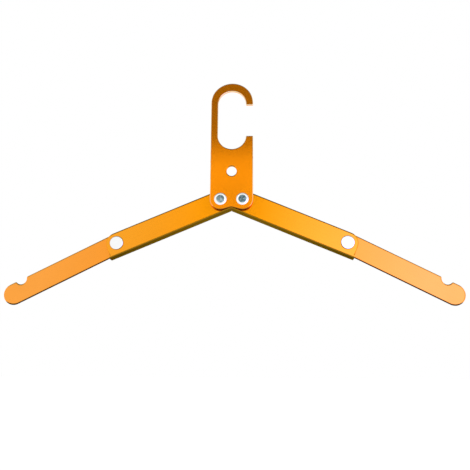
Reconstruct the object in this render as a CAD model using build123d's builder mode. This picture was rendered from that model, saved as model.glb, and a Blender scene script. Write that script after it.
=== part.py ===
from build123d import *
from math import acos, atan2, cos, hypot, radians, sin
import os

# Folding travel hanger: a hook plate with two folding arms of two links each.
# X is to the right, Y runs from the front to the back, and Z is up. The origin is the centre
# of the hook's inner arch, halfway through the plate, where a wardrobe rail lies.
# The arms are drawn open, resting on their stops.

# Hook plate
plate_thickness = 2.0
plate_width = 39.0
rail_slot_width = 25.8
arch_band = 8.2
slot_centres = 31.1
mouth_height = 30.4
hook_tip_drop = 0.9
hook_tip_round = 0.6
pivot_drop = 91.7
lobe_radius = 9.6
notch_clearance = 0.5
notch_round = 0.8
centre_hole_radius = 4.6
centre_hole_rise = 26.5
plate_edge_break = 0.5
break_share = 5 / 6

# Inner arms
arm_length = 101.0
arm_sag_angle = 22.9
web_thickness = 1.8
folded_web_gap = 0.8
web_edge_break = 0.5
flange_thickness = 1.85
flange_to_plate = 1.1
flange_front_rise = 0.9
flange_back_reach = 3.0
flange_tail = 10.0
flange_root_height = 2.2
front_root_round = 2.4
front_root_run = 0.1
back_root_round = 0.5
front_rim_round = 0.88
front_rim_share = 0.48
back_rim_round = 0.5
back_heel_round = 1.2
centre_stop_gap = 0.15

# Outer arms
strip_tip_overlap = 0.34
folded_strip_gap = 0.8
strip_thickness = 1.5
strip_droop_angle = 4.0
strip_stop_gap = 0.15
strip_edge_break = 0.5
strap_notch_radius = 5.1
strap_notch_depth = 4.4
strap_notch_from_tip = 10.8
strap_notch_round = 0.6

# Rivets and the washers between the links
shank_radius = 2.5
shank_clearance = 0.05
shank_seat_clearance = 0.02
link_play = 0.05
shoulder_washer_thickness = 1.4
shoulder_washer_radius = 6.0
elbow_washer_thickness = 0.8
elbow_washer_radius = 5.5
shoulder_head_radius = 5.8
shoulder_head_height = 1.4
elbow_head_radius = 6.2
elbow_head_height = 1.05
head_rim_height = 0.3
crown_shares = ((1, 0), (0.78, 0.55), (0.42, 1))
shoulder_tail_radius = 4.4
shoulder_tail_height = 0.45
elbow_tail_radius = 4.6
elbow_tail_height = 0.9
tail_rim_height = 0.15
tail_slope_width = 0.6
tail_dimple_radius = 1.5
tail_dimple_depth = 0.5

# Places that follow from the sizes above
rail_radius = rail_slot_width / 2
arch_radius = plate_width / 2
pivot_x = arch_radius - lobe_radius
arch_centre_z = rail_radius + arch_band - arch_radius
mouth_top_z = -hook_tip_drop
mouth_sill_z = mouth_top_z - mouth_height
tip_round = min(hook_tip_round, abs(arch_centre_z - mouth_top_z) / 2)
plate_break = min(plate_edge_break, tip_round * break_share)
centre_hole_z = centre_hole_rise - pivot_drop

# Depths of the stacked layers, from the front of the plate to the back of the outer arms
plate_front_y = -plate_thickness / 2
plate_back_y = plate_thickness / 2
web_front_y = plate_back_y + shoulder_washer_thickness + link_play
web_back_y = web_front_y + web_thickness
strip_front_y = web_back_y + elbow_washer_thickness + link_play
strip_back_y = strip_front_y + strip_thickness
flange_front_y = plate_front_y - flange_front_rise
flange_back_y = web_back_y + flange_back_reach

# Behind the web the flange's outer end catches the edge of the drooping outer arm and holds it
# there. In front of the web the flange passes the plate's edge when the arm is folded, so it is
# as far out as the plate's lobe needs. The outer arm's tip folds over the shoulder.
web_edge_height = pivot_x - folded_web_gap / 2
strip_edge_height = pivot_x - folded_strip_gap / 2
strip_length = arm_length + strip_tip_overlap
droop = radians(strip_droop_angle)
flange_back_inner = (strip_edge_height + strip_stop_gap + flange_tail * sin(droop)) / cos(droop)
flange_inner = max(lobe_radius + flange_to_plate, flange_back_inner)
flange_outer = flange_inner + flange_thickness

# The flanges' lower corners butt against each other under the notch when the arms are open.
sag = radians(arm_sag_angle)
flange_start = (flange_outer * sin(sag) - pivot_x + centre_stop_gap) / cos(sag)
flange_length = arm_length + flange_tail - flange_start

# The notch between the plate's lobes clears the upper corners of those two flange ends.
notch_drop = flange_inner * cos(sag) + flange_start * sin(sag) - notch_clearance

# Local planes of the right-hand arm: X along the link, Y to its upper edge, facing forwards
shoulder = Vector(pivot_x, 0, -pivot_drop)
arm_direction = Vector(cos(sag), 0, -sin(sag))
elbow = shoulder + arm_direction * arm_length
strip_direction = Vector(cos(sag + droop), 0, -sin(sag + droop))
arm_plane = Plane(origin=shoulder, x_dir=arm_direction, z_dir=(0, -1, 0))
strip_plane = Plane(origin=elbow, x_dir=strip_direction, z_dir=(0, -1, 0))
section_plane = Plane(
    origin=shoulder + arm_direction * flange_start,
    x_dir=(-sin(sag), 0, -cos(sag)),
    z_dir=arm_direction,
)


def turning_plane(pivot):
    """The plane of a rivet's profile: X is the radius and Y the depth."""
    return Plane(origin=pivot, x_dir=(1, 0, 0), z_dir=(0, 0, 1))


def seat_plane(pivot, depth):
    """A plane square to a pivot that faces forwards, at a depth behind the plate's middle."""
    return Plane(origin=pivot, x_dir=(1, 0, 0), z_dir=(0, -1, 0)).offset(-depth)


# Hook plate: punched and deburred sheet, with the rail slot open to the right
apex_distance = hypot(pivot_x, notch_drop)
tangent_angle = atan2(-notch_drop, pivot_x) - acos(lobe_radius / apex_distance)
tangent_x = pivot_x - lobe_radius * cos(tangent_angle)
tangent_z = lobe_radius * sin(tangent_angle) - pivot_drop
body_height = arch_centre_z + pivot_drop
overrun = arch_radius

with BuildPart() as hook_plate:
    with BuildSketch(Plane.XZ.offset(-plate_back_y)):
        with Locations((0, arch_centre_z)):
            Circle(arch_radius)
        with Locations((0, -pivot_drop)):
            Rectangle(plate_width, body_height, align=(Align.CENTER, Align.MIN))
        with Locations((-pivot_x, -pivot_drop), (pivot_x, -pivot_drop)):
            Circle(lobe_radius)
        with BuildLine():
            Polyline(
                (-pivot_x, -pivot_drop),
                (pivot_x, -pivot_drop),
                (tangent_x, tangent_z),
                (0, -pivot_drop - notch_drop),
                (-tangent_x, tangent_z),
                close=True,
            )
        make_face()
        with Locations((0, -slot_centres / 2)):
            SlotCenterToCenter(slot_centres, rail_slot_width, rotation=90, mode=Mode.SUBTRACT)
        with Locations((0, mouth_sill_z)):
            Rectangle(overrun, mouth_height, align=(Align.MIN, Align.MIN), mode=Mode.SUBTRACT)
        mouth_corners = [
            vertices().sort_by_distance((corner_x, corner_z))[0]
            for corner_x in (rail_radius, arch_radius)
            for corner_z in (mouth_sill_z, mouth_top_z)
        ]
        fillet(mouth_corners, radius=tip_round)
        notch_apex = vertices().sort_by_distance((0, -pivot_drop - notch_drop))[0]
        fillet(notch_apex, radius=notch_round)
    extrude(amount=plate_thickness)
    chamfer(faces().filter_by(Axis.Y).edges(), length=plate_break)
    with BuildSketch(Plane.XZ.offset(-plate_back_y)):
        with Locations((0, centre_hole_z)):
            Circle(centre_hole_radius)
        with Locations((-pivot_x, -pivot_drop), (pivot_x, -pivot_drop)):
            Circle(shank_radius + shank_seat_clearance)
    extrude(amount=plate_thickness, mode=Mode.SUBTRACT)
hook_plate.part.label = "hook_plate"

# Inner arm: an extruded flat web with a flange along its lower edge. The flange stands both
# in front of the web, where it frames the folded plate, and behind it, where it shelters the
# folded outer arm.
root_line = min(
    flange_back_inner - flange_root_height,
    flange_inner - front_root_round - front_root_run,
)
flange_middle = (flange_inner + flange_outer) / 2

with BuildPart() as right_inner_arm:
    with BuildSketch(arm_plane.offset(-web_back_y)):
        with Locations((0, 0), (arm_length, 0)):
            Circle(web_edge_height)
        with Locations((flange_start, -root_line)):
            Rectangle(flange_length, flange_middle - root_line, align=(Align.MIN, Align.MAX))
        make_hull()
    extrude(amount=web_thickness)
    chamfer(faces().filter_by(Axis.Y).edges(), length=web_edge_break)
    with BuildSketch(section_plane):
        with Locations((flange_inner, flange_front_y)):
            Rectangle(flange_thickness, web_back_y - flange_front_y, align=(Align.MIN, Align.MIN))
        front_rim = vertices().group_by(Axis.Y)[0]
        fillet(front_rim, radius=min(front_rim_round, front_rim_share * flange_thickness))
        with Locations((flange_back_inner, web_front_y)):
            Rectangle(
                flange_outer - flange_back_inner,
                flange_back_y - web_front_y,
                align=(Align.MIN, Align.MIN),
            )
        back_rim = vertices().group_by(Axis.Y)[-1].sort_by(Axis.X)
        fillet(back_rim[0], radius=back_rim_round)
        back_rim = vertices().group_by(Axis.X)[-1].sort_by(Axis.Y)
        fillet(back_rim[-1], radius=back_heel_round)
        with Locations((root_line, web_front_y)):
            Rectangle(flange_middle - root_line, web_thickness, align=(Align.MIN, Align.MIN))
        front_root = vertices().sort_by_distance((flange_inner, web_front_y))[0]
        fillet(front_root, radius=front_root_round)
        back_root = vertices().sort_by_distance((flange_back_inner, web_back_y))[0]
        fillet(back_root, radius=back_root_round)
    extrude(amount=flange_length)
    with BuildSketch(arm_plane.offset(-web_back_y)):
        Circle(shank_radius + shank_clearance)
        with Locations((arm_length, 0)):
            Circle(shank_radius + shank_seat_clearance)
    extrude(amount=web_thickness, mode=Mode.SUBTRACT)

# Outer arm: a flat strip with round ends and a notch for a garment's strap near its tip
notch_centre = (
    strip_length - strap_notch_from_tip,
    strip_edge_height - strap_notch_depth + strap_notch_radius,
)

with BuildPart() as right_outer_arm:
    with BuildSketch(strip_plane.offset(-strip_back_y)):
        with Locations((strip_length / 2, 0)):
            SlotCenterToCenter(strip_length, 2 * strip_edge_height)
        with Locations(notch_centre):
            Circle(strap_notch_radius, mode=Mode.SUBTRACT)
        notch_mouth = vertices().sort_by_distance(notch_centre)[:2]
        fillet(notch_mouth, radius=strap_notch_round)
    extrude(amount=strip_thickness)
    chamfer(faces().filter_by(Axis.Y).edges(), length=strip_edge_break)
    with BuildSketch(strip_plane.offset(-strip_back_y)):
        Circle(shank_radius + shank_clearance)
    extrude(amount=strip_thickness, mode=Mode.SUBTRACT)

# Shoulder rivet: a domed head on the plate's face, and a low flat tail behind the arm that
# leaves room for the outer arm folded over it
def head_outline(radius, height, seat_y):
    """A rivet head's outline from the middle of its crown to its rim, ahead of its seat."""
    crown_height = height - head_rim_height
    rim_y = seat_y - head_rim_height
    crown = [(radius * out, rim_y - crown_height * up) for out, up in reversed(crown_shares)]
    return [(0, seat_y - height), *crown, (radius, seat_y)]


with BuildPart() as right_shoulder_rivet:
    with BuildSketch(turning_plane(shoulder)):
        with BuildLine():
            tail_seat_y = web_back_y + link_play
            tail_face_y = tail_seat_y + shoulder_tail_height
            Polyline(
                *head_outline(shoulder_head_radius, shoulder_head_height, plate_front_y),
                (shank_radius, plate_front_y),
                (shank_radius, tail_seat_y),
                (shoulder_tail_radius, tail_seat_y),
                (shoulder_tail_radius, tail_face_y),
                (0, tail_face_y),
                close=True,
            )
        make_face()
    revolve(axis=Axis(shoulder, (0, 1, 0)))

# Elbow rivet: a wide low head that passes behind the plate, and a tail with a dimple
with BuildPart() as right_elbow_rivet:
    with BuildSketch(turning_plane(elbow)):
        with BuildLine():
            tail_seat_y = strip_back_y + link_play
            tail_face_y = tail_seat_y + elbow_tail_height
            dimple_y = tail_face_y - tail_dimple_depth
            Polyline(
                *head_outline(elbow_head_radius, elbow_head_height, web_front_y),
                (shank_radius, web_front_y),
                (shank_radius, tail_seat_y),
                (elbow_tail_radius, tail_seat_y),
                (elbow_tail_radius, tail_seat_y + tail_rim_height),
                (elbow_tail_radius - tail_slope_width, tail_face_y),
                (tail_dimple_radius, tail_face_y),
                (tail_dimple_radius, dimple_y),
                (0, dimple_y),
                close=True,
            )
        make_face()
    revolve(axis=Axis(elbow, (0, 1, 0)))

# Washers: one keeps the arm clear of the plate, the other keeps the strip clear of the arm
with BuildPart() as right_shoulder_washer:
    with BuildSketch(seat_plane(shoulder, plate_back_y + shoulder_washer_thickness)):
        Circle(shoulder_washer_radius)
        Circle(shank_radius + shank_clearance, mode=Mode.SUBTRACT)
    extrude(amount=shoulder_washer_thickness)

with BuildPart() as right_elbow_washer:
    with BuildSketch(seat_plane(elbow, web_back_y + elbow_washer_thickness)):
        Circle(elbow_washer_radius)
        Circle(shank_radius + shank_clearance, mode=Mode.SUBTRACT)
    extrude(amount=elbow_washer_thickness)

# The left-hand pieces are the same pieces, mirrored
right_pieces = {
    "inner_arm": right_inner_arm,
    "outer_arm": right_outer_arm,
    "shoulder_rivet": right_shoulder_rivet,
    "elbow_rivet": right_elbow_rivet,
    "shoulder_washer": right_shoulder_washer,
    "elbow_washer": right_elbow_washer,
}

os.makedirs("parts", exist_ok=True)
export_step(hook_plate.part, "parts/hook_plate.step")
for piece_name, right_piece in right_pieces.items():
    with BuildPart() as left_piece:
        mirror(right_piece.part, about=Plane.YZ)
    right_piece.part.label = f"right_{piece_name}"
    left_piece.part.label = f"left_{piece_name}"
    export_step(right_piece.part, f"parts/right_{piece_name}.step")
    export_step(left_piece.part, f"parts/left_{piece_name}.step")

half_span = elbow.X + strip_direction.X * strip_length + strip_edge_height
print(f"open span {2 * half_span:.1f} mm")
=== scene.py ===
from math import acos, asin, atan2, ceil, cos, degrees, hypot, pi, radians, sin, sqrt, tan

import bmesh
import bpy
from mathutils import Matrix, Vector
from mathutils.geometry import tessellate_polygon


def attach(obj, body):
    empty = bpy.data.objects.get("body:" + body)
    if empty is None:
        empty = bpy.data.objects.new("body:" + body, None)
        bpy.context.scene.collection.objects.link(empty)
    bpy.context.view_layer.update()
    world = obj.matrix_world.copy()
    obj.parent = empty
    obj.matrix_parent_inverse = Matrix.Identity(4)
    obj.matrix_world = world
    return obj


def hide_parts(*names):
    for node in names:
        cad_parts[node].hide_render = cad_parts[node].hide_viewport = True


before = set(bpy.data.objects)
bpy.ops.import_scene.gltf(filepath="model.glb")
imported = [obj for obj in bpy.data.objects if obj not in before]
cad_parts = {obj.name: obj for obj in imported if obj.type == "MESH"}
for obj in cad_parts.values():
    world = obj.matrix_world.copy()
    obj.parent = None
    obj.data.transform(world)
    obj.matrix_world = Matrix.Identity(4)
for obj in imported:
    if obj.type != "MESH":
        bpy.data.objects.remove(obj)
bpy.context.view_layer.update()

# Camera
# It stands half a metre in front of the hanger, lower than the arms' tips, and looks up at it,
# so the undersides of the flanges show along the arms, as a dark line that is partly painted shade.
mm = 0.001
camera_place = (26.5, -518.3, -241.8)
camera_turns = (102.727, -0.377, 2.463)
lens_length = 45.917
sensor_side = 36.0

camera_lens = bpy.data.cameras.new("camera")
camera_lens.lens = lens_length
camera_lens.sensor_width = sensor_side
camera = bpy.data.objects.new("camera", camera_lens)
camera.location = Vector(camera_place) * mm
camera.rotation_euler = [radians(turn) for turn in camera_turns]
bpy.context.scene.collection.objects.link(camera)
bpy.context.scene.camera = camera
bpy.context.scene.view_settings.view_transform = "Standard"


# Studio
# White all round, with a pale floor and two soft boxes, of which the blue one pales the right
# arm. Cards that only the metal sees stand above the front, behind the lens and overhead.
white = (1.0, 1.0, 1.0, 1.0)
floor_height = -300.0
floor_side = 8000.0
floor_colour = (0.90, 0.90, 0.90, 1.0)
floor_lift = 0.16
blotch_detail = 2.0
blotch_range = (0.35, 0.65)
even_blotch = 300.0
room_blotch = 22.0


def add_node(tree, kind, inputs, **settings):
    """A node of a tree, with its settings and the values or links of its inputs."""
    node = tree.nodes.new(kind)
    for setting, value in settings.items():
        setattr(node, setting, value)
    for socket, value in inputs.items():
        if isinstance(value, bpy.types.NodeSocket):
            tree.links.new(value, node.inputs[socket])
        else:
            node.inputs[socket].default_value = value
    return node


def maths(tree, operation, *values):
    """The result of a Math node."""
    node = add_node(tree, "ShaderNodeMath", dict(enumerate(values)), operation=operation)
    return node.outputs[0]


def noise(tree, vector, scale, detail):
    """A noise that varies from 0 to 1 with a mean of a half."""
    inputs = {"Vector": vector, "Scale": scale, "Detail": detail}
    return add_node(tree, "ShaderNodeTexNoise", inputs).outputs[0]


def step_mask(tree, value, start, end, course="SMOOTHSTEP"):
    """A mask that rises from 0 to 1 as the value goes from start to end."""
    inputs = {"Value": value, "From Min": start, "From Max": end}
    return add_node(tree, "ShaderNodeMapRange", inputs, interpolation_type=course).outputs[0]


def mix_colours(tree, factor, first, second):
    """A mix of two colours."""
    inputs = {"Factor": factor, "A": first, "B": second}
    return add_node(tree, "ShaderNodeMix", inputs, data_type="RGBA").outputs["Result"]


def object_place(tree):
    """The place on the piece, in its own coordinates."""
    return add_node(tree, "ShaderNodeTexCoord", {}).outputs["Object"]


def bare_material(name):
    """A new material with an empty tree."""
    material = bpy.data.materials.new(name)
    material.use_nodes = True
    material.node_tree.nodes.clear()
    return material, material.node_tree


def build_floor_material():
    """A matt floor that shows a little brighter than the light makes it."""
    material, tree = bare_material("pale_floor")
    matt = add_node(tree, "ShaderNodeBsdfDiffuse", {"Color": floor_colour})
    rays = add_node(tree, "ShaderNodeLightPath", {}).outputs
    seen = maths(tree, "MAXIMUM", rays["Is Camera Ray"], rays["Is Glossy Ray"])
    seen = maths(tree, "MAXIMUM", seen, rays["Is Transmission Ray"])
    strength = maths(tree, "MULTIPLY", seen, floor_lift)
    glow = add_node(tree, "ShaderNodeEmission", {"Color": white, "Strength": strength})
    both = add_node(tree, "ShaderNodeAddShader", {0: matt.outputs[0], 1: glow.outputs[0]})
    add_node(tree, "ShaderNodeOutputMaterial", {"Surface": both.outputs[0]})
    return material


def card_material(name, dark, light, blotch):
    """A matt card's material, blotched in two tones by patches of this size."""
    material, tree = bare_material(name)
    patches = noise(tree, object_place(tree), 1 / (blotch * mm), blotch_detail)
    colour = mix_colours(tree, step_mask(tree, patches, *blotch_range, "LINEAR"), dark, light)
    matt = add_node(tree, "ShaderNodeBsdfDiffuse", {"Color": colour})
    add_node(tree, "ShaderNodeOutputMaterial", {"Surface": matt.outputs[0]})
    return material


def set_up(name, data, place, aim):
    """Puts a sheet or a lamp in the studio, facing its aim."""
    thing = bpy.data.objects.new(name, data)
    thing.location = Vector(place) * mm
    thing.rotation_euler = (Vector(place) - Vector(aim)).to_track_quat("Z", "Y").to_euler()
    bpy.context.scene.collection.objects.link(thing)
    return thing


def stage_sheet(name, place, aim, width, height, material):
    """A flat sheet of the studio, square to the line from its place to its aim."""
    half_width, half_height = width / 2 * mm, height / 2 * mm
    corners = [(-1, -1), (1, -1), (1, 1), (-1, 1)]
    mesh = bpy.data.meshes.new(name)
    mesh.from_pydata([(x * half_width, y * half_height, 0) for x, y in corners], [], [(0, 1, 2, 3)])
    mesh.materials.append(material)
    sheet = set_up(name, mesh, place, aim)
    return sheet


world = bpy.data.worlds.new("white_studio")
world.use_nodes = True
world_light = world.node_tree.nodes["Background"].inputs
world_light["Color"].default_value = white
world_light["Strength"].default_value = 1.0
bpy.context.scene.world = world

floor_place, below_floor = (0, 0, floor_height), (0, 0, floor_height - 1)
stage_sheet("floor", floor_place, below_floor, floor_side, floor_side, build_floor_material())

grey_card = card_material(
    "grey_card", (0.345, 0.345, 0.35, 1.0), (0.365, 0.365, 0.365, 1.0), even_blotch
)
dim_card = card_material("dim_card", (0.06, 0.12, 0.13, 1.0), (0.48, 0.58, 0.58, 1.0), room_blotch)
pale_card = card_material("pale_card", (0.34, 0.38, 0.38, 1.0), (0.85, 0.88, 0.86, 1.0), room_blotch)

# name, place, aim, width, height, material
cards = [
    ("card_above_front", (-30, -250, 326), (-30, 0, 326), 900, 560, grey_card),
    ("card_behind_lens_right", (-7, -640, 97), (0, 0, -92), 52, 56, dim_card),
    ("card_behind_lens_left", (-59, -640, 97), (0, 0, -92), 52, 56, pale_card),
    ("card_overhead", (0, 60, 700), (0, 60, 0), 1400, 1200, grey_card),
]
for card_row in cards:
    card = stage_sheet(*card_row)
    card.visible_camera = False
    card.visible_diffuse = False
    card.visible_shadow = False

# name, place, aim, width, height, power, tint
soft_boxes = [
    ("soft_box_right", (335, -900, -40), (130, 0, -140), 560, 400, 0.84, (0.42, 0.42, 1.9)),
    ("soft_box_front", (-45, -900, 195), (0, 0, -85), 240, 160, 0.044, (1.0, 1.0, 1.0)),
]
for name, place, aim, width, height, power, tint in soft_boxes:
    light = bpy.data.lights.new(name, "AREA")
    light.shape = "RECTANGLE"
    light.size = width * mm
    light.size_y = height * mm
    light.energy = power
    light.color = tint
    set_up(name, light, place, aim)


# Hook plate
# The flat piece that the rest hangs from: aluminium sheet, punched with the rail slot and its
# side mouth, a round hole and two lobes, then deburred, blasted with beads and anodised orange.
plate_thickness = 2.0
plate_width = 39.0
rail_slot_width = 25.8
arch_band = 8.2
slot_centres = 31.1
mouth_height = 30.4
hook_tip_drop = 0.9
hook_tip_round = 0.88
pivot_drop = 91.7
lobe_radius = 9.6
notch_drop = 7.301
notch_round = 0.8
centre_hole_radius = 4.6
centre_hole_rise = 26.5
pivot_x = plate_width / 2 - lobe_radius
plate_front_y, plate_back_y = -plate_thickness / 2, plate_thickness / 2
plate_edge_width = 0.85
plate_edge_depth = 0.6
shank_radius = 2.5
plate_dye = (1.0, 0.288, 0.0035, 1.0)
plate_fade = (0, 100)
# Painted shade on the edges and undersides; the worn colour is partly wear and partly painted
# highlight.
plate_edges = {
    "Edge Shade Colour": (0.24, 0.14, 0.02, 1.0),
    "Under Shade Colour": (0.26, 0.09, 0.003, 1.0),
    "Under Lean": -0.8,
    "Wear Highlight Colour": (1.0, 0.84, 0.52, 1.0),
    "Wear Highlight Beyond": 16.5 * mm,
    "Wear Highlight Above": -42 * mm,
    "Edge Shade Amount": 0.9,
    "Edge Wear Highlight": 0.9,
}

# Degrees from point to point along large, middling and small arcs, and steps round an edge
large_arc_step = 2.5
middle_arc_step = 10.0
small_arc_step = 15.0
edge_steps = 6
weld_distance = 0.0005
flat_facing = 0.9999

# The anodised skin. A pattern is a noise's scale and detail.
grain_pattern = (1500, 3.0)
pit_pattern = (3800, 1.0)
cloud_pattern = (55, 3.0)
lay_pattern = (1.0, 3.0)
lay_stretch = (14, 900, 900)
# Patches of the pale edges, which are partly wear and partly painted highlight
wear_highlight_pattern = (260, 2.0)
pit_depth_share = 0.5
skin_grain = 0.10
skin_clouds = 0.08
skin_roughness = 0.21
grain_roughness = 0.12
under_roughness = 0.4
under_paling = (-0.7, 1.4)
low_wear_highlight_loss = -0.6
skin_bump_strength = 0.2
skin_bump_depth = 0.04
warm_edge = (0.92, 0.72, 0.14, 1.0)

# Where its tones, painted shade and painted highlight among them, begin and end, by the way the
# surface faces or by its height on the object
side_share = 0.8
rounded_facing = (0.05, 0.3)
edge_facing = (0.03, 0.17)
under_facing = -0.03
under_heights = (-80 * mm, -88 * mm)
wear_highlight_facing = (0.995, 0.93)
wear_highlight_patches = (0.1, 0.5)
wear_highlight_margin = 1 * mm
low_wear_highlight_heights = (-80 * mm, -95 * mm)


def arc(centre, radius, start, end, step=large_arc_step):
    """Points along an arc, from one angle in degrees to another."""
    count = max(3, ceil(abs(end - start) / step) + 1)
    angles = [radians(start + (end - start) * k / (count - 1)) for k in range(count)]
    return [(centre[0] + radius * cos(a), centre[1] + radius * sin(a)) for a in angles]


def round_hole(centre, radius, step=middle_arc_step):
    """A round hole's outline."""
    return arc(centre, radius, 360, 0, step)[:-1]


def plate_outlines():
    """The plate's edge, its hole and its rivet holes, with the metal on the left all along."""
    rail_radius, half_width = rail_slot_width / 2, plate_width / 2
    arch_centre = (0, rail_radius + arch_band - half_width)
    sill = -hook_tip_drop - mouth_height
    tip_x = half_width - hook_tip_round
    sill_z = sill - hook_tip_round
    inner_x = sqrt((rail_radius + hook_tip_round) ** 2 - (sill_z + slot_centres) ** 2)
    sill_lean = degrees(asin((sill_z + slot_centres) / (rail_radius + hook_tip_round)))
    tip_z = hook_tip_round - hook_tip_drop
    apex_distance = hypot(pivot_x, notch_drop)
    lean = degrees(atan2(-notch_drop, pivot_x) - acos(lobe_radius / apex_distance))
    spread = 90 + lean
    notch_centre = (0, -pivot_drop - notch_drop - notch_round / sin(radians(90 - spread)))
    edge = [
        *arc((tip_x, sill_z), hook_tip_round, 0, 90, small_arc_step),
        *arc((inner_x, sill_z), hook_tip_round, 90, 180 + sill_lean, small_arc_step),
        *arc((0, -slot_centres), rail_radius, sill_lean, -180),
        *arc((0, 0), rail_radius, 180, 0),
        *arc((rail_radius + hook_tip_round, tip_z), hook_tip_round, 180, 270, small_arc_step),
        *arc((tip_x, tip_z), hook_tip_round, 270, 360, small_arc_step),
        *arc(arch_centre, half_width, 0, 180),
        *arc((-pivot_x, -pivot_drop), lobe_radius, 180, 360 + lean),
        *arc(notch_centre, notch_round, 90 + spread, 90 - spread, middle_arc_step),
        *arc((pivot_x, -pivot_drop), lobe_radius, 180 - lean, 360),
    ]
    centre_hole = round_hole((0, centre_hole_rise - pivot_drop), centre_hole_radius, large_arc_step)
    rivet_holes = [round_hole((x, -pivot_drop), shank_radius) for x in (-pivot_x, pivot_x)]
    return [edge, centre_hole, *rivet_holes]


def inset_outline(outline, inset):
    """The outline moved into the metal, which is on its left."""
    moved = []
    for k, (x, y) in enumerate(outline):
        before, after = outline[k - 1], outline[(k + 1) % len(outline)]
        first = Vector((before[1] - y, x - before[0])).normalized()
        second = Vector((y - after[1], after[0] - x)).normalized()
        mitre = (first + second) / (1 + first.dot(second))
        moved.append((x + mitre.x * inset, y + mitre.y * inset))
    return moved


def rounded_prism(name, outlines, near, far, edge_width, edge_depth, axes, origin):
    """A prism of flat outlines between two depths, with rounded edges. Its axes are the
    outlines' x and y and the depth."""
    swing = [radians(90 * k / edge_steps) for k in range(edge_steps + 1)]
    layers = [(edge_width * (1 - sin(a)), near + edge_depth * (1 - cos(a))) for a in swing]
    layers += [(inset, near + far - depth) for inset, depth in reversed(layers)]
    along, upward, inward = (Vector(axis) for axis in axes)
    points, faces, cap_points = [], [], []
    for outline in outlines:
        first, size = len(points), len(outline)
        cap_points += range(first, first + size)
        for inset, depth in layers:
            for u, v in inset_outline(outline, inset):
                points.append((Vector(origin) + along * u + upward * v + inward * depth) * mm)
        for layer in range(len(layers) - 1):
            for k in range(size):
                a, b = first + layer * size + k, first + layer * size + (k + 1) % size
                faces.append((a, b, b + size, a + size))
    cap_loops = [[Vector((*p, 0)) for p in inset_outline(o, edge_width)] for o in outlines]
    to_back = [(len(layers) - 1) * len(o) for o in outlines for _ in o]
    for cap in tessellate_polygon(cap_loops):
        faces.append(tuple(cap_points[k] for k in cap))
        faces.append(tuple(cap_points[k] + to_back[k] for k in reversed(cap)))
    mesh = bpy.data.meshes.new(name)
    mesh.from_pydata(points, [], faces)
    return mesh


def close_mesh(mesh, sharp_angle):
    """Welds a mesh, turns its faces outwards and shades it smooth up to an angle."""
    shape = bmesh.new()
    shape.from_mesh(mesh)
    bmesh.ops.remove_doubles(shape, verts=shape.verts, dist=weld_distance * mm)
    bmesh.ops.dissolve_degenerate(shape, edges=shape.edges, dist=weld_distance * mm)
    bmesh.ops.recalc_face_normals(shape, faces=shape.faces)
    for face in shape.faces:
        face.smooth = abs(face.normal.y) < flat_facing
    for edge in shape.edges:
        edge.smooth = edge.is_manifold and edge.calc_face_angle() < radians(sharp_angle)
    shape.to_mesh(mesh)
    shape.free()
    return mesh


def add_piece(name, mesh, material, body, slot, *nodes):
    """Puts a finished mesh in the scene for its CAD nodes, on its body."""
    mesh.materials.clear()
    mesh.materials.append(material)
    piece = bpy.data.objects.new(name, mesh)
    bpy.context.scene.collection.objects.link(piece)
    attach(piece, body)
    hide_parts(*nodes)
    return piece


def node_group(name, kind, inputs, outputs):
    """An empty node group with its inputs, as (name, kind, value), and outputs, as (name, kind)."""
    tree = bpy.data.node_groups.new(name, kind)
    for socket, socket_kind, value in inputs:
        made = tree.interface.new_socket(socket, in_out="INPUT", socket_type=socket_kind)
        if value is not None:
            made.default_value = value
    for socket, socket_kind in outputs:
        tree.interface.new_socket(socket, in_out="OUTPUT", socket_type=socket_kind)
    given, result = tree.nodes.new("NodeGroupInput"), tree.nodes.new("NodeGroupOutput")
    return tree, given.outputs, result.inputs


def vector_maths(tree, operation, first, second):
    """The result of a Vector Math node."""
    inputs = {0: first, 1: second}
    return add_node(tree, "ShaderNodeVectorMath", inputs, operation=operation).outputs[0]


def split(tree, vector):
    """The X, Y and Z of a vector."""
    return add_node(tree, "ShaderNodeSeparateXYZ", {0: vector}).outputs


def surface_facing(tree):
    """The X, Y and Z of the direction that the surface faces."""
    return split(tree, add_node(tree, "ShaderNodeNewGeometry", {}).outputs["Normal"])


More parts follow.
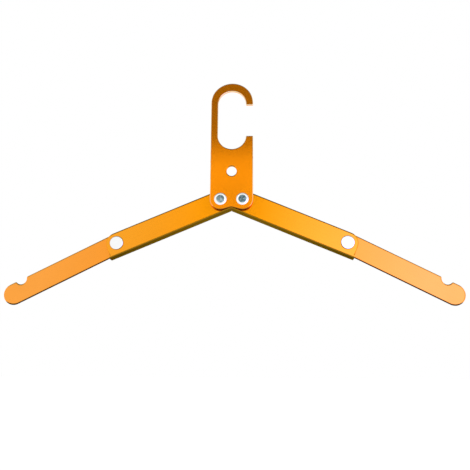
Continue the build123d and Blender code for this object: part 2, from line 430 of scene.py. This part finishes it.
def build_anodised_skin():
    """Blasted and anodised aluminium: fine grain, faint clouds, lines along the lay, painted light
    that pales it outwards, painted shade on edges and undersides, and pale edges, partly wear and
    partly painted highlight.
    """
    tree, given, result = node_group(
        "anodised_skin",
        "ShaderNodeTree",
        [
            ("Dye", "NodeSocketColor", white),
            ("Lit Outer Colour", "NodeSocketColor", white),
            ("Fade From", "NodeSocketFloat", 0.0),
            ("Fade To", "NodeSocketFloat", 1.0),
            ("Edge Shade Colour", "NodeSocketColor", white),
            ("Under Shade Colour", "NodeSocketColor", white),
            ("Wear Highlight Colour", "NodeSocketColor", white),
            ("Wear Highlight Beyond", "NodeSocketFloat", 0.0),
            ("Wear Highlight Above", "NodeSocketFloat", 0.0),
            ("Grain", "NodeSocketFloat", 0.1),
            ("Clouds", "NodeSocketFloat", 0.05),
            ("Lay Lines", "NodeSocketFloat", 0.0),
            ("Lay Angle", "NodeSocketFloat", 0.0),
            ("Roughness", "NodeSocketFloat", 0.35),
            ("Edge Shade Amount", "NodeSocketFloat", 0.0),
            ("Under Lean", "NodeSocketFloat", -0.46),
            ("Edge Wear Highlight", "NodeSocketFloat", 0.5),
        ],
        [
            ("Colour", "NodeSocketColor"),
            ("Roughness", "NodeSocketFloat"),
            ("Height", "NodeSocketFloat"),
        ],
    )
    place = object_place(tree)
    spot, facing = split(tree, place), surface_facing(tree)
    outwards = maths(tree, "ABSOLUTE", spot["X"])

    # The colour pales outwards, painted light standing in for brighter light towards the tips, and
    # grain, clouds and the lines of the lay vary it
    grain = noise(tree, place, *grain_pattern)
    clouds = noise(tree, place, *cloud_pattern)
    turn = {"Vector": place, "Angle": given["Lay Angle"]}
    turned = add_node(tree, "ShaderNodeVectorRotate", turn, rotation_type="Y_AXIS").outputs[0]
    lines = noise(tree, vector_maths(tree, "MULTIPLY", turned, lay_stretch), *lay_pattern)
    fade = step_mask(tree, outwards, given["Fade From"], given["Fade To"], "LINEAR")
    level = 1.0
    for amount, pattern in (("Grain", grain), ("Clouds", clouds), ("Lay Lines", lines)):
        swing = maths(tree, "SUBTRACT", pattern, 0.5)
        level = maths(tree, "MULTIPLY_ADD", swing, given[amount], level)
    colour = mix_colours(tree, fade, given["Dye"], given["Lit Outer Colour"])
    colour = vector_maths(tree, "MULTIPLY", colour, level)

    # Painted shade: roundings that face more up or down than sideways take a dark edge colour
    flatness = maths(tree, "ABSOLUTE", facing["Y"])
    sideways = maths(tree, "MULTIPLY", maths(tree, "ABSOLUTE", facing["X"]), side_share)
    steepness = maths(tree, "SUBTRACT", maths(tree, "ABSOLUTE", facing["Z"]), sideways)
    rounded = step_mask(tree, flatness, *rounded_facing)
    edge = maths(tree, "MULTIPLY", rounded, step_mask(tree, steepness, *edge_facing))
    edge = maths(tree, "MULTIPLY", edge, given["Edge Shade Amount"])
    colour = mix_colours(tree, edge, colour, given["Edge Shade Colour"])

    # Painted shade: undersides of the low parts take a dark under colour, lighter near the middle
    # and darker outwards
    hanging = maths(tree, "ADD", sideways, facing["Z"])
    under = step_mask(tree, hanging, under_facing, given["Under Lean"])
    under = maths(tree, "MULTIPLY", step_mask(tree, spot["Z"], *under_heights), under)
    paling = maths(tree, "MULTIPLY_ADD", fade, *under_paling)
    under_shade_colour = vector_maths(tree, "MULTIPLY", given["Under Shade Colour"], paling)
    colour = mix_colours(tree, under, colour, under_shade_colour)

    # Outer roundings are pale in patches, partly wear and partly painted highlight, and less so low
    # on the plate
    beyond = maths(tree, "SUBTRACT", outwards, given["Wear Highlight Beyond"])
    above = maths(tree, "SUBTRACT", spot["Z"], given["Wear Highlight Above"])
    outside = maths(tree, "MAXIMUM", beyond, above)
    low_wear_highlight = step_mask(tree, spot["Z"], *low_wear_highlight_heights)
    wear_highlight = maths(tree, "MULTIPLY", rounded, step_mask(tree, flatness, *wear_highlight_facing))
    for mask in (
        step_mask(tree, noise(tree, place, *wear_highlight_pattern), *wear_highlight_patches),
        step_mask(tree, outside, -wear_highlight_margin, wear_highlight_margin),
        maths(tree, "MULTIPLY_ADD", low_wear_highlight, low_wear_highlight_loss, 1),
        given["Edge Wear Highlight"],
    ):
        wear_highlight = maths(tree, "MULTIPLY", wear_highlight, mask)
    colour = mix_colours(tree, wear_highlight, colour, given["Wear Highlight Colour"])

    rough = maths(tree, "MULTIPLY_ADD", grain, grain_roughness, given["Roughness"])
    rough = maths(tree, "SUBTRACT", rough, grain_roughness / 2)
    rough = maths(tree, "MULTIPLY_ADD", under, under_roughness, rough)
    pits = noise(tree, place, *pit_pattern)
    height = maths(tree, "MULTIPLY_ADD", pits, pit_depth_share, grain)
    for socket, value in (("Colour", colour), ("Roughness", rough), ("Height", height)):
        tree.links.new(value, result[socket])
    return tree


def new_metal(name):
    """A new metal's material, its tree and its shader's inputs."""
    material = bpy.data.materials.new(name)
    material.use_nodes = True
    shader = material.node_tree.nodes["Principled BSDF"].inputs
    shader["Metallic"].default_value = 1.0
    return material, material.node_tree, shader


def finish_metal(tree, shader, colour, roughness, height, bump_strength, bump_depth):
    """Links a metal's colour, roughness and bumps to its shader."""
    inputs = {"Strength": bump_strength, "Distance": bump_depth * mm, "Height": height}
    bump = add_node(tree, "ShaderNodeBump", inputs).outputs["Normal"]
    for socket, value in (("Base Color", colour), ("Roughness", roughness), ("Normal", bump)):
        tree.links.new(value, shader[socket])


anodised_skin = build_anodised_skin()


def anodised(name, dye, lit_outer_colour, fade, edges, lay_lines=0.0, lay_angle=0.0):
    """The material of one anodised link, whose colour pales between two distances from the middle:
    painted light, brighter towards the tips.
    """
    material, tree, shader = new_metal(name)
    shader["Specular Tint"].default_value = warm_edge
    skin = tree.nodes.new("ShaderNodeGroup")
    skin.node_tree = anodised_skin
    values = {
        "Dye": dye,
        "Lit Outer Colour": lit_outer_colour,
        "Fade From": fade[0] * mm,
        "Fade To": fade[1] * mm,
        "Grain": skin_grain,
        "Clouds": skin_clouds,
        "Lay Lines": lay_lines,
        "Lay Angle": radians(lay_angle),
        "Roughness": skin_roughness,
        **edges,
    }
    for socket, value in values.items():
        skin.inputs[socket].default_value = value
    colour, rough, height = (skin.outputs[socket] for socket in ("Colour", "Roughness", "Height"))
    finish_metal(tree, shader, colour, rough, height, skin_bump_strength, skin_bump_depth)
    return material


hook_plate_mesh = rounded_prism(
    "hook_plate_sheet",
    plate_outlines(),
    plate_front_y,
    plate_back_y,
    plate_edge_width,
    plate_edge_depth,
    ((1, 0, 0), (0, 0, 1), (0, 1, 0)),
    (0, 0, 0),
)
close_mesh(hook_plate_mesh, sharp_angle=35)
plate_skin = anodised("plate_skin", plate_dye, plate_dye, plate_fade, plate_edges)
add_piece("hook_plate_sheet", hook_plate_mesh, plate_skin, "hook", "hook_plate", "hook_plate")


# Inner arms
# An extruded aluminium section cut to length: a flat web with a flange along its lower edge,
# rounded at both ends, blasted and anodised. It is riveted behind the plate's lobe.
arm_length = 101.0
arm_sag_angle = 22.9
web_front_y, web_back_y = 2.45, 4.25
web_edge_height = 9.5
web_edge_width = 1.3
web_edge_depth = 0.75
flange_inner = 10.7
flange_outer = 12.55
flange_back_inner = 10.37
flange_front_y, flange_back_y = -1.9, 7.25
flange_start = -5.3
flange_tail = 10.0
flange_end_break = 0.08
flange_mitre_reach = 0.06
front_root_round = 0.9
back_root_round = 0.5
root_overlap = 1.0
root_inset = 0.005
web_end_inset = 0.05
front_rim_round = 0.25
front_heel_round = 2.0
front_heel_lean = 12.0
back_rim_round = 0.5
back_heel_round = 1.2
inner_arm_dye = (0.94, 0.315, 0.003, 1.0)
# Painted light: the arm pales towards its tip, standing in for brighter light there.
inner_arm_lit_outer_colour = (0.96, 0.37, 0.023, 1.0)
inner_arm_fade = (25, 105)
inner_arm_lay_lines = 0.08
# Painted shade on the edges and undersides.
inner_arm_edges = {
    "Edge Shade Colour": (0.26, 0.15, 0.008, 1.0),
    "Under Shade Colour": (0.112, 0.062, 0.005, 1.0),
    "Under Lean": -0.6,
    "Edge Shade Amount": 0.9,
    "Edge Wear Highlight": 0.0,
}
sides = (("right", 1), ("left", -1))


def link_axes(angle):
    """The directions along a right-hand link that leans down by an angle, and up across it."""
    lean = radians(angle)
    return (cos(lean), 0, -sin(lean)), (sin(lean), 0, cos(lean))


shoulder = (pivot_x, 0, -pivot_drop)
arm_direction, arm_upward = link_axes(arm_sag_angle)
arm_downward = tuple(-share for share in arm_upward)
elbow_x = pivot_x + arm_length * arm_direction[0]
elbow_z = -pivot_drop + arm_length * arm_direction[2]
flange_end = arm_length + flange_tail


def web_outline():
    """The web's edge, from its lower inner corner round the elbow's end and back."""
    foot = (flange_inner + flange_outer) / 2
    inner, outer = flange_start + web_end_inset, flange_end - web_end_inset
    leans = []
    for corner_x in (-inner, outer - arm_length):
        away = hypot(corner_x, foot)
        leans.append(degrees(atan2(corner_x, foot) + acos(web_edge_height / away)) - 90)
    return [
        (inner, -foot),
        (outer, -foot),
        *arc((arm_length, 0), web_edge_height, leans[1], 90),
        *arc((0, 0), web_edge_height, 90, 180 - leans[0]),
    ]


def flange_section():
    """The flange and its root in section: x away from the arm's middle line, y backwards."""
    rim, toe = front_rim_round, front_heel_round
    heel, lip = back_heel_round, back_rim_round
    toe_y = flange_front_y + toe * cos(radians(front_heel_lean))
    front_root, back_root = front_root_round, back_root_round
    front_y, back_y = web_front_y + root_inset, web_back_y - root_inset
    return [
        (flange_inner - front_root - root_overlap, front_y),
        *arc((flange_inner - front_root, front_y - front_root), front_root, 90, 0, step=8),
        *arc((flange_inner + rim, flange_front_y + rim), rim, 180, 270, step=9),
        *arc((flange_outer - toe, toe_y), toe, 270 + front_heel_lean, 360, step=7.5),
        *arc((flange_outer - heel, flange_back_y - heel), heel, 0, 90, step=10),
        *arc((flange_back_inner + lip, flange_back_y - lip), lip, 90, 180, step=15),
        *arc((flange_back_inner - back_root, back_y + back_root), back_root, 0, -90, step=15),
        (flange_inner - front_root - root_overlap, back_y),
    ]


def mitre_flange(flange):
    """Cuts the flange's inner end upright, so that it closes against the other arm's."""
    for vertex in flange.vertices:
        spot = vertex.co / mm - Vector(shoulder)
        if spot.dot(Vector(arm_direction)) < 0:
            short = (flange_outer - spot.dot(Vector(arm_downward))) * tan(radians(arm_sag_angle))
            vertex.co -= Vector(arm_direction) * (short + flange_mitre_reach) * mm


def inner_arm_mesh(node):
    """The right inner arm's web and flange in one mesh."""
    web = rounded_prism(
        f"{node}_web",
        [web_outline()],
        web_front_y,
        web_back_y,
        web_edge_width,
        web_edge_depth,
        (arm_direction, arm_upward, (0, 1, 0)),
        shoulder,
    )
    flange = rounded_prism(
        f"{node}_flange",
        [flange_section()],
        flange_start,
        flange_end,
        flange_end_break,
        flange_end_break,
        (arm_downward, (0, 1, 0), arm_direction),
        shoulder,
    )
    mitre_flange(flange)
    shape = bmesh.new()
    shape.from_mesh(web)
    shape.from_mesh(flange)
    shape.to_mesh(web)
    shape.free()
    return web


def mirrored(mesh, way):
    """The mesh itself for the right side, and its mirror image for the left."""
    mesh.transform(Matrix.Diagonal((way, 1, 1, 1)))
    return mesh


for side, way in sides:
    node = f"{side}_inner_arm"
    arm_mesh = close_mesh(mirrored(inner_arm_mesh(node), way), sharp_angle=28)
    skin = anodised(
        f"{node}_skin",
        inner_arm_dye,
        inner_arm_lit_outer_colour,
        inner_arm_fade,
        inner_arm_edges,
        inner_arm_lay_lines,
        way * -arm_sag_angle,
    )
    piece = add_piece(f"{node}_section", arm_mesh, skin, node, "inner_arm", node)
    shading = piece.modifiers.new("even_shading", "WEIGHTED_NORMAL")
    shading.keep_sharp = True
    shading.weight = 100


# Outer arms
# A flat strip of aluminium with round ends and a notch for a garment's strap near its tip,
# punched, blasted and anodised paler than the plate. It turns behind the inner arm's end.
strip_length = 101.34
strip_edge_height = 9.5
strip_front_y, strip_back_y = 5.1, 6.6
strip_edge_width = 1.2
strip_edge_depth = 0.7
strap_notch_radius = 5.1
strap_notch_depth = 4.4
strap_notch_from_tip = 10.8
strap_notch_round = 1.25
strip_angle = 26.9
outer_arm_dye = (0.96, 0.33, 0.030, 1.0)
# Painted light: the strip pales towards its tip, standing in for brighter light there.
outer_arm_lit_outer_colour = (0.97, 0.37, 0.056, 1.0)
outer_arm_fade = (105, 170)
outer_arm_lay_lines = 0.04
# Painted shade on the edges and undersides.
outer_arm_edges = {
    "Edge Shade Colour": (0.36, 0.20, 0.02, 1.0),
    "Under Shade Colour": (0.07, 0.026, 0.003, 1.0),
    "Under Lean": -0.14,
    "Edge Shade Amount": 0.9,
    "Edge Wear Highlight": 0.0,
}
strip_direction, strip_upward = link_axes(strip_angle)


def strip_outlines():
    """The strip's edge with its strap notch, and its rivet hole."""
    notch = (
        strip_length - strap_notch_from_tip,
        strip_edge_height - strap_notch_depth + strap_notch_radius,
    )
    corner_y = strip_edge_height - strap_notch_round
    reach = strap_notch_radius + strap_notch_round
    corner_x = sqrt(reach**2 - (notch[1] - corner_y) ** 2)
    lean = degrees(asin((notch[1] - corner_y) / reach))
    outer_corner, inner_corner = (notch[0] + corner_x, corner_y), (notch[0] - corner_x, corner_y)
    edge = [
        *arc((strip_length, 0), strip_edge_height, -90, 90),
        *arc(outer_corner, strap_notch_round, 90, 180 - lean, small_arc_step),
        *arc(notch, strap_notch_radius, -lean, lean - 180),
        *arc(inner_corner, strap_notch_round, lean, 90, small_arc_step),
        *arc((0, 0), strip_edge_height, 90, 270),
    ]
    return [edge, round_hole((0, 0), shank_radius)]


for side, way in sides:
    node = f"{side}_outer_arm"
    strip_mesh = rounded_prism(
        f"{node}_strip",
        strip_outlines(),
        strip_front_y,
        strip_back_y,
        strip_edge_width,
        strip_edge_depth,
        (strip_direction, strip_upward, (0, 1, 0)),
        (elbow_x, 0, elbow_z),
    )
    strip_mesh = close_mesh(mirrored(strip_mesh, way), sharp_angle=35)
    skin = anodised(
        f"{node}_skin",
        outer_arm_dye,
        outer_arm_lit_outer_colour,
        outer_arm_fade,
        outer_arm_edges,
        outer_arm_lay_lines,
        way * -strip_angle,
    )
    add_piece(f"{node}_strip", strip_mesh, skin, node, "outer_arm", node)


# Rivets
# Solid aluminium rivets, bright from the die: a wide low crown, with a painted reflection in the
# middle on the plate and painted shade round the rim at the elbows, a plain shank, and a small tail
# behind the stack.
rivet_play = 0.05
shoulder_rivet_sizes = {
    "Head Radius": 5.8,
    "Head Height": 1.4,
    "Shank Radius": shank_radius,
    "Grip": web_back_y + rivet_play - plate_front_y,
    "Tail Radius": 4.4,
    "Tail Height": 0.45,
    "Dimple Radius": 1.3,
    "Dimple Depth": 0.2,
}
elbow_rivet_sizes = {
    "Head Radius": 6.2,
    "Head Height": 1.05,
    "Shank Radius": shank_radius,
    "Grip": strip_back_y + rivet_play - web_front_y,
    "Tail Radius": 4.6,
    "Tail Height": 0.9,
    "Dimple Radius": 1.5,
    "Dimple Depth": 0.5,
}

# Shares of the radius and of the height or depth, from the head's middle to the dimple's
head_crown_shares = [
    (0.0, 1.0),
    (0.35, 1.0),
    (0.64, 1.0),
    (0.67, 0.993),
    (0.72, 0.978),
    (0.82, 0.946),
    (0.88, 0.92),
    (0.92, 0.87),
    (0.955, 0.77),
    (0.98, 0.62),
    (0.995, 0.45),
    (1.0, 0.3),
]
head_seat_share = 0.985
tail_crown_shares = [(1.0, 0.3), (0.97, 0.55), (0.92, 0.75), (0.85, 0.9), (0.75, 1.0)]
dimple_shares = [(1.25, 0.0), (1.0, 0.2), (0.8, 0.8), (0.5, 1.0), (0.0, 1.0)]
rivet_segments = 72

# The bright metal. A pattern is a noise's scale and detail.
smear_pattern = (420, 3.0)
tool_mark_pattern = (2600, 2.0)
core_pattern = (520, 2.0)
smear_shade = 0.92
polish_bump_strength = 0.1
polish_bump_depth = 0.03
rivet_tint = (0.97, 0.98, 0.98, 1.0)
rivet_roughness = 0.08
rivet_marks = 0.06
# Painted shade: a dark olive ring round the elbow rivets' rims
rim_shade_strength = 0.9
rim_shade_facing = (0.97, 0.8)
rim_shade_tint = (0.30, 0.21, 0.07, 1.0)
# Painted reflection: a blotched blue-grey disc in the middle of the shoulder rivets' heads
core_radius = 3.7
core_margin = 0.1
core_depth = 0.5
core_blotches = (0.36, 0.64)
core_reflection_tints = ((0.24, 0.33, 0.34, 1.0), (0.66, 0.80, 0.86, 1.0))


def ring_value(tree, given, ring, rings, column):
    """The radius or the depth of the ring with this number, summed from the named sizes."""
    switch = tree.nodes.new("GeometryNodeIndexSwitch")
    switch.data_type = "FLOAT"
    while len(switch.index_switch_items) < len(rings):
        switch.index_switch_items.new()
    tree.links.new(ring, switch.inputs[0])
    for k, row in enumerate(rings):
        total = 0.0
        for socket, share in row[column].items():
            total = maths(tree, "MULTIPLY_ADD", given[socket], share, total)
        if isinstance(total, float):
            switch.inputs[k + 1].default_value = total
        else:
            tree.links.new(total, switch.inputs[k + 1])
    return switch.outputs[0]


def turned_tree(name, sizes, rings, segments):
    """A Geometry Nodes tree that turns rings of named radii and depths about the Y axis, sets
    the piece at each of its places, and gives it a finish."""
    inputs = [(size, "NodeSocketFloat", 0.0) for size in sizes]
    inputs += [
        ("Count", "NodeSocketInt", 1),
        ("First Place", "NodeSocketVector", (0, 0, 0)),
        ("Step", "NodeSocketVector", (0, 0, 0)),
        ("Finish", "NodeSocketMaterial", None),
    ]
    outputs = [("Piece", "NodeSocketGeometry")]
    tree, given, result = node_group(name, "GeometryNodeTree", inputs, outputs)
    grid = add_node(
        tree,
        "GeometryNodeMeshGrid",
        {"Size X": 1.0, "Size Y": 1.0, "Vertices X": len(rings), "Vertices Y": segments + 1},
    )
    spot = split(tree, add_node(tree, "GeometryNodeInputPosition", {}).outputs[0])
    last_ring = len(rings) - 1
    ring = maths(tree, "MULTIPLY_ADD", spot["X"], last_ring, last_ring / 2)
    ring = add_node(tree, "FunctionNodeFloatToInt", {0: ring}, rounding_mode="ROUND").outputs[0]
    angle = maths(tree, "MULTIPLY", spot["Y"], 2 * pi)
    radius, depth = (ring_value(tree, given, ring, rings, column) for column in (0, 1))
    across = maths(tree, "MULTIPLY", radius, maths(tree, "COSINE", angle))
    upward = maths(tree, "MULTIPLY", radius, maths(tree, "SINE", angle))
    turned = add_node(tree, "ShaderNodeCombineXYZ", {"X": across, "Y": depth, "Z": upward})
    shell = add_node(
        tree,
        "GeometryNodeSetPosition",
        {"Geometry": grid.outputs["Mesh"], "Position": turned.outputs[0]},
    )
    index = add_node(tree, "GeometryNodeInputIndex", {}).outputs[0]
    shift = vector_maths(tree, "MULTIPLY", given["Step"], index)
    points = add_node(
        tree,
        "GeometryNodePoints",
        {
            "Count": given["Count"],
            "Position": vector_maths(tree, "ADD", given["First Place"], shift),
        },
    )
    placed = add_node(
        tree,
        "GeometryNodeInstanceOnPoints",
        {"Points": points.outputs[0], "Instance": shell.outputs[0]},
    )
    real = add_node(tree, "GeometryNodeRealizeInstances", {"Geometry": placed.outputs[0]})
    finished = add_node(
        tree,
        "GeometryNodeSetMaterial",
        {"Geometry": real.outputs[0], "Material": given["Finish"]},
    )
    tree.links.new(finished.outputs[0], result["Piece"])
    return tree


def turned_mesh(name, tree, sizes, finish, places):
    """The plain mesh that a turning tree gives with these sizes, at evenly spaced places."""
    first, last = Vector(places[0]), Vector(places[-1])
    values = {socket: size * mm for socket, size in sizes.items()}
    values["Count"] = len(places)
    values["First Place"] = first * mm
    values["Step"] = (last - first) / max(1, len(places) - 1) * mm
    values["Finish"] = finish
    holder = bpy.data.objects.new(name, bpy.data.meshes.new(name))
    bpy.context.scene.collection.objects.link(holder)
    maker = holder.modifiers.new("turning", "NODES")
    maker.node_group = tree
    for item in tree.interface.items_tree:
        if item.item_type == "SOCKET" and item.in_out == "INPUT":
            maker[item.identifier] = values[item.name]
    shown = holder.evaluated_get(bpy.context.evaluated_depsgraph_get())
    mesh = bpy.data.meshes.new_from_object(shown)
    holder.modifiers.clear()
    bpy.data.objects.remove(holder)
    mesh.name = name
    return close_mesh(mesh, sharp_angle=50)


def painted_rim_shade(tree, colour, strength):
    """The colour with painted shade, a dark olive ring, where the surface turns away from the front
    or back.
    """
    flatness = maths(tree, "ABSOLUTE", surface_facing(tree)["Y"])
    rim_shade = maths(tree, "MULTIPLY", step_mask(tree, flatness, *rim_shade_facing), strength)
    return mix_colours(tree, rim_shade, colour, rim_shade_tint)


def painted_reflection_core(tree, place, colour, radius):
    """The colour with a blotched blue-grey disc of painted reflection on the front of the two
    shoulder rivets.
    """
    spot = split(tree, place)
    across = maths(tree, "SUBTRACT", maths(tree, "ABSOLUTE", spot["X"]), pivot_x * mm)
    upward = maths(tree, "ADD", spot["Z"], pivot_drop * mm)
    away = maths(tree, "MULTIPLY_ADD", upward, upward, maths(tree, "MULTIPLY", across, across))
    away = maths(tree, "SQRT", away)
    inside = step_mask(tree, away, (radius + core_margin) * mm, (radius - core_margin) * mm)
    inside = maths(tree, "MULTIPLY", inside, step_mask(tree, spot["Y"], 0.0, -core_depth * mm))
    blotches = step_mask(tree, noise(tree, place, *core_pattern), *core_blotches)
    return mix_colours(tree, inside, colour, mix_colours(tree, blotches, *core_reflection_tints))


def polished(name, tint, roughness, marks, rim_shade=0.0, core=0.0):
    """Bright aluminium with light marks of its tool. Its rims may take painted shade, and the
    shoulders' heads a painted reflection, a grey core of this radius."""
    material, tree, shader = new_metal(name)
    place = object_place(tree)
    smear = noise(tree, place, *smear_pattern)
    rough = maths(tree, "MULTIPLY_ADD", smear, marks, roughness - marks / 2)
    shaded = tuple(tone * smear_shade for tone in tint[:3]) + (1.0,)
    colour = mix_colours(tree, smear, shaded, tint)
    if rim_shade:
        colour = painted_rim_shade(tree, colour, rim_shade)
    if core:
        colour = painted_reflection_core(tree, place, colour, core)
    pits = noise(tree, place, *tool_mark_pattern)
    finish_metal(tree, shader, colour, rough, pits, polish_bump_strength, polish_bump_depth)
    return material


rivet_rings = [({"Head Radius": r}, {"Head Height": -h}) for r, h in head_crown_shares]
rivet_rings += [
    ({"Head Radius": head_seat_share}, {}),
    ({"Shank Radius": 1}, {}),
    ({"Shank Radius": 1}, {"Grip": 1}),
    ({"Tail Radius": 1}, {"Grip": 1}),
]
rivet_rings += [({"Tail Radius": r}, {"Grip": 1, "Tail Height": h}) for r, h in tail_crown_shares]
rivet_rings += [
    ({"Dimple Radius": r}, {"Grip": 1, "Tail Height": 1, "Dimple Depth": -d})
    for r, d in dimple_shares
]
rivet_tree = turned_tree("rivet", shoulder_rivet_sizes, rivet_rings, rivet_segments)
shoulder_rivet_finish = polished(
    "shoulder_rivet_finish", rivet_tint, rivet_roughness, rivet_marks, core=core_radius
)
elbow_rivet_finish = polished(
    "elbow_rivet_finish", rivet_tint, rivet_roughness, rivet_marks, rim_shade=rim_shade_strength
)

shoulder_rivets = turned_mesh(
    "shoulder_rivet_pair",
    rivet_tree,
    shoulder_rivet_sizes,
    shoulder_rivet_finish,
    [(-pivot_x, plate_front_y, -pivot_drop), (pivot_x, plate_front_y, -pivot_drop)],
)
add_piece(
    "shoulder_rivet_pair",
    shoulder_rivets,
    shoulder_rivet_finish,
    "hook",
    "rivet",
    "left_shoulder_rivet",
    "right_shoulder_rivet",
)

for side, way in sides:
    elbow_rivet = turned_mesh(
        f"{side}_elbow_rivet_turned",
        rivet_tree,
        elbow_rivet_sizes,
        elbow_rivet_finish,
        [(way * elbow_x, web_front_y, elbow_z)],
    )
    add_piece(
        f"{side}_elbow_rivet_turned",
        elbow_rivet,
        elbow_rivet_finish,
        f"{side}_inner_arm",
        "rivet",
        f"{side}_elbow_rivet",
    )


# Washers
# Plain punched aluminium washers, tumbled bright, that keep the links apart: one between the
# plate and each inner arm, and a thinner one between each inner arm and its outer arm.
washer_hole_radius = shank_radius + rivet_play
shoulder_washer_sizes = {"Radius": 6.0, "Hole Radius": washer_hole_radius, "Thickness": 1.4}
elbow_washer_sizes = {"Radius": 5.5, "Hole Radius": washer_hole_radius, "Thickness": 0.8}
washer_segments = 64
washer_tint = (0.80, 0.81, 0.82, 1.0)
washer_roughness = 0.28
washer_marks = 0.15

# Shares of the radius and of the thickness that the breaks of the hole and the rim take
hole_mouth_share = 1.03
hole_break_share = 0.1
rim_face_share = 0.97
rim_break_share = 0.14

washer_rings = [
    ({"Hole Radius": 1}, {"Thickness": hole_break_share}),
    ({"Hole Radius": hole_mouth_share}, {}),
    ({"Radius": rim_face_share}, {}),
    ({"Radius": 1}, {"Thickness": rim_break_share}),
    ({"Radius": 1}, {"Thickness": 1 - rim_break_share}),
    ({"Radius": rim_face_share}, {"Thickness": 1}),
    ({"Hole Radius": hole_mouth_share}, {"Thickness": 1}),
    ({"Hole Radius": 1}, {"Thickness": 1 - hole_break_share}),
    ({"Hole Radius": 1}, {"Thickness": hole_break_share}),
]
washer_tree = turned_tree("washer", shoulder_washer_sizes, washer_rings, washer_segments)
washer_finish = polished("washer_finish", washer_tint, washer_roughness, washer_marks)

shoulder_washers = turned_mesh(
    "shoulder_washer_pair",
    washer_tree,
    shoulder_washer_sizes,
    washer_finish,
    [(-pivot_x, plate_back_y, -pivot_drop), (pivot_x, plate_back_y, -pivot_drop)],
)
add_piece(
    "shoulder_washer_pair",
    shoulder_washers,
    washer_finish,
    "hook",
    "washer",
    "left_shoulder_washer",
    "right_shoulder_washer",
)

for side, way in sides:
    elbow_washer = turned_mesh(
        f"{side}_elbow_washer_disc",
        washer_tree,
        elbow_washer_sizes,
        washer_finish,
        [(way * elbow_x, web_back_y, elbow_z)],
    )
    add_piece(
        f"{side}_elbow_washer_disc",
        elbow_washer,
        washer_finish,
        f"{side}_inner_arm",
        "washer",
        f"{side}_elbow_washer",
    )
